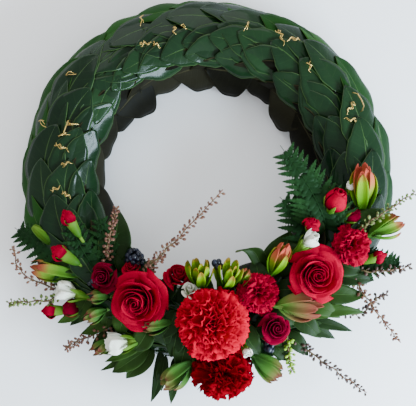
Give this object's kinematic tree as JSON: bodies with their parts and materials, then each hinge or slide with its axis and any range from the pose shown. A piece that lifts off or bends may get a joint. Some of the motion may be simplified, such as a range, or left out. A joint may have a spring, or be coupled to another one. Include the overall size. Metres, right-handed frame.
{
  "type": "memorial wreath",
  "caption": "Round funeral wreath: a foam ring covered in overlapping glossy leaves, with a red and white flower spray across its lower half.",
  "frame": {"origin": "middle of the whole wreath's outline, on the surface that it lies on", "axes": "+Z out of the flowers' face, +Y from the spray to the bare top of the ring, +X to the viewer's right"},
  "size_m": [0.4258, 0.4306, 0.1137],
  "materials": {
    "soaked_foam": "fine open-celled green floral foam, soaked",
    "tray_plastic": "dark green moulded plastic, satin",
    "camellia_leaf": "waxy dark green leaf with a pale midrib, glossy",
    "pin_wire": "bright brass-coated wire",
    "rose_petal": "velvety crimson petal, darker in the folds",
    "carnation_petal": "bright red frilled petal",
    "white_petal": "soft white petal, faintly green at the foot",
    "bud_calyx": "smooth pale green calyx and stem",
    "bract": "green bract with a rust-red tip, satin",
    "fern_frond": "dark green fern, satin",
    "berry_skin": "blue-black berry with a faint bloom",
    "sprig_twig": "pinkish brown twig with small buds",
    "flower_stem": "smooth green flower stem"
  },
  "bodies": {
    "root": {"base_tray": "tray_plastic", "berry_cluster": "berry_skin", "carnation_bud_inner": "bud_calyx", "carnation_bud_left": "bud_calyx", "carnation_bud_low": "bud_calyx", "carnation_bud_side": "bud_calyx", "carnation_far": "carnation_petal", "carnation_front": "carnation_petal", "carnation_low": "carnation_petal", "carnation_right": "carnation_petal", "fern_left": "fern_frond", "fern_right": "fern_frond", "foam_ring": "soaked_foam", "green_bud_left": "bud_calyx", "greening_pin_left": "pin_wire", "greening_pin_right": "pin_wire", "leaf_collar_left_1": "camellia_leaf", "leaf_collar_left_2": "camellia_leaf", "leaf_collar_right_1": "camellia_leaf", "leaf_collar_right_2": "camellia_leaf", "leaf_row_left_01": "camellia_leaf", "leaf_row_left_02": "camellia_leaf", "leaf_row_left_03": "camellia_leaf", "leaf_row_left_04": "camellia_leaf", "leaf_row_left_05": "camellia_leaf", "leaf_row_right_01": "camellia_leaf", "leaf_row_right_02": "camellia_leaf", "leaf_row_right_03": "camellia_leaf", "leaf_row_right_04": "camellia_leaf", "leaf_row_right_05": "camellia_leaf", "leaf_row_right_06": "camellia_leaf", "leaf_row_right_07": "camellia_leaf", "leaf_row_right_08": "camellia_leaf", "leaf_row_right_09": "camellia_leaf", "leucadendron_inner": "bract", "leucadendron_inner_2": "bract", "leucadendron_inner_right": "bract", "leucadendron_left": "bract", "leucadendron_low": "bract", "leucadendron_low_right": "bract", "leucadendron_right": "bract", "leucadendron_upper_right": "bract", "lisianthus_bloom": "white_petal", "lisianthus_bud_left": "white_petal", "lisianthus_bud_low": "white_petal", "lisianthus_bud_right": "white_petal", "rose_left": "rose_petal", "rose_right": "rose_petal", "rosebud_upper": "rose_petal", "spray_leaves_low": "camellia_leaf", "spray_rose_back": "rose_petal", "spray_rose_inner": "rose_petal", "spray_rose_left": "rose_petal", "spray_rose_right": "rose_petal", "sprig_inner": "sprig_twig", "sprig_left": "sprig_twig", "sprig_right_low": "sprig_twig", "sprig_right_middle": "sprig_twig", "sprig_right_upper": "sprig_twig"}
  },
  "joints": []
}
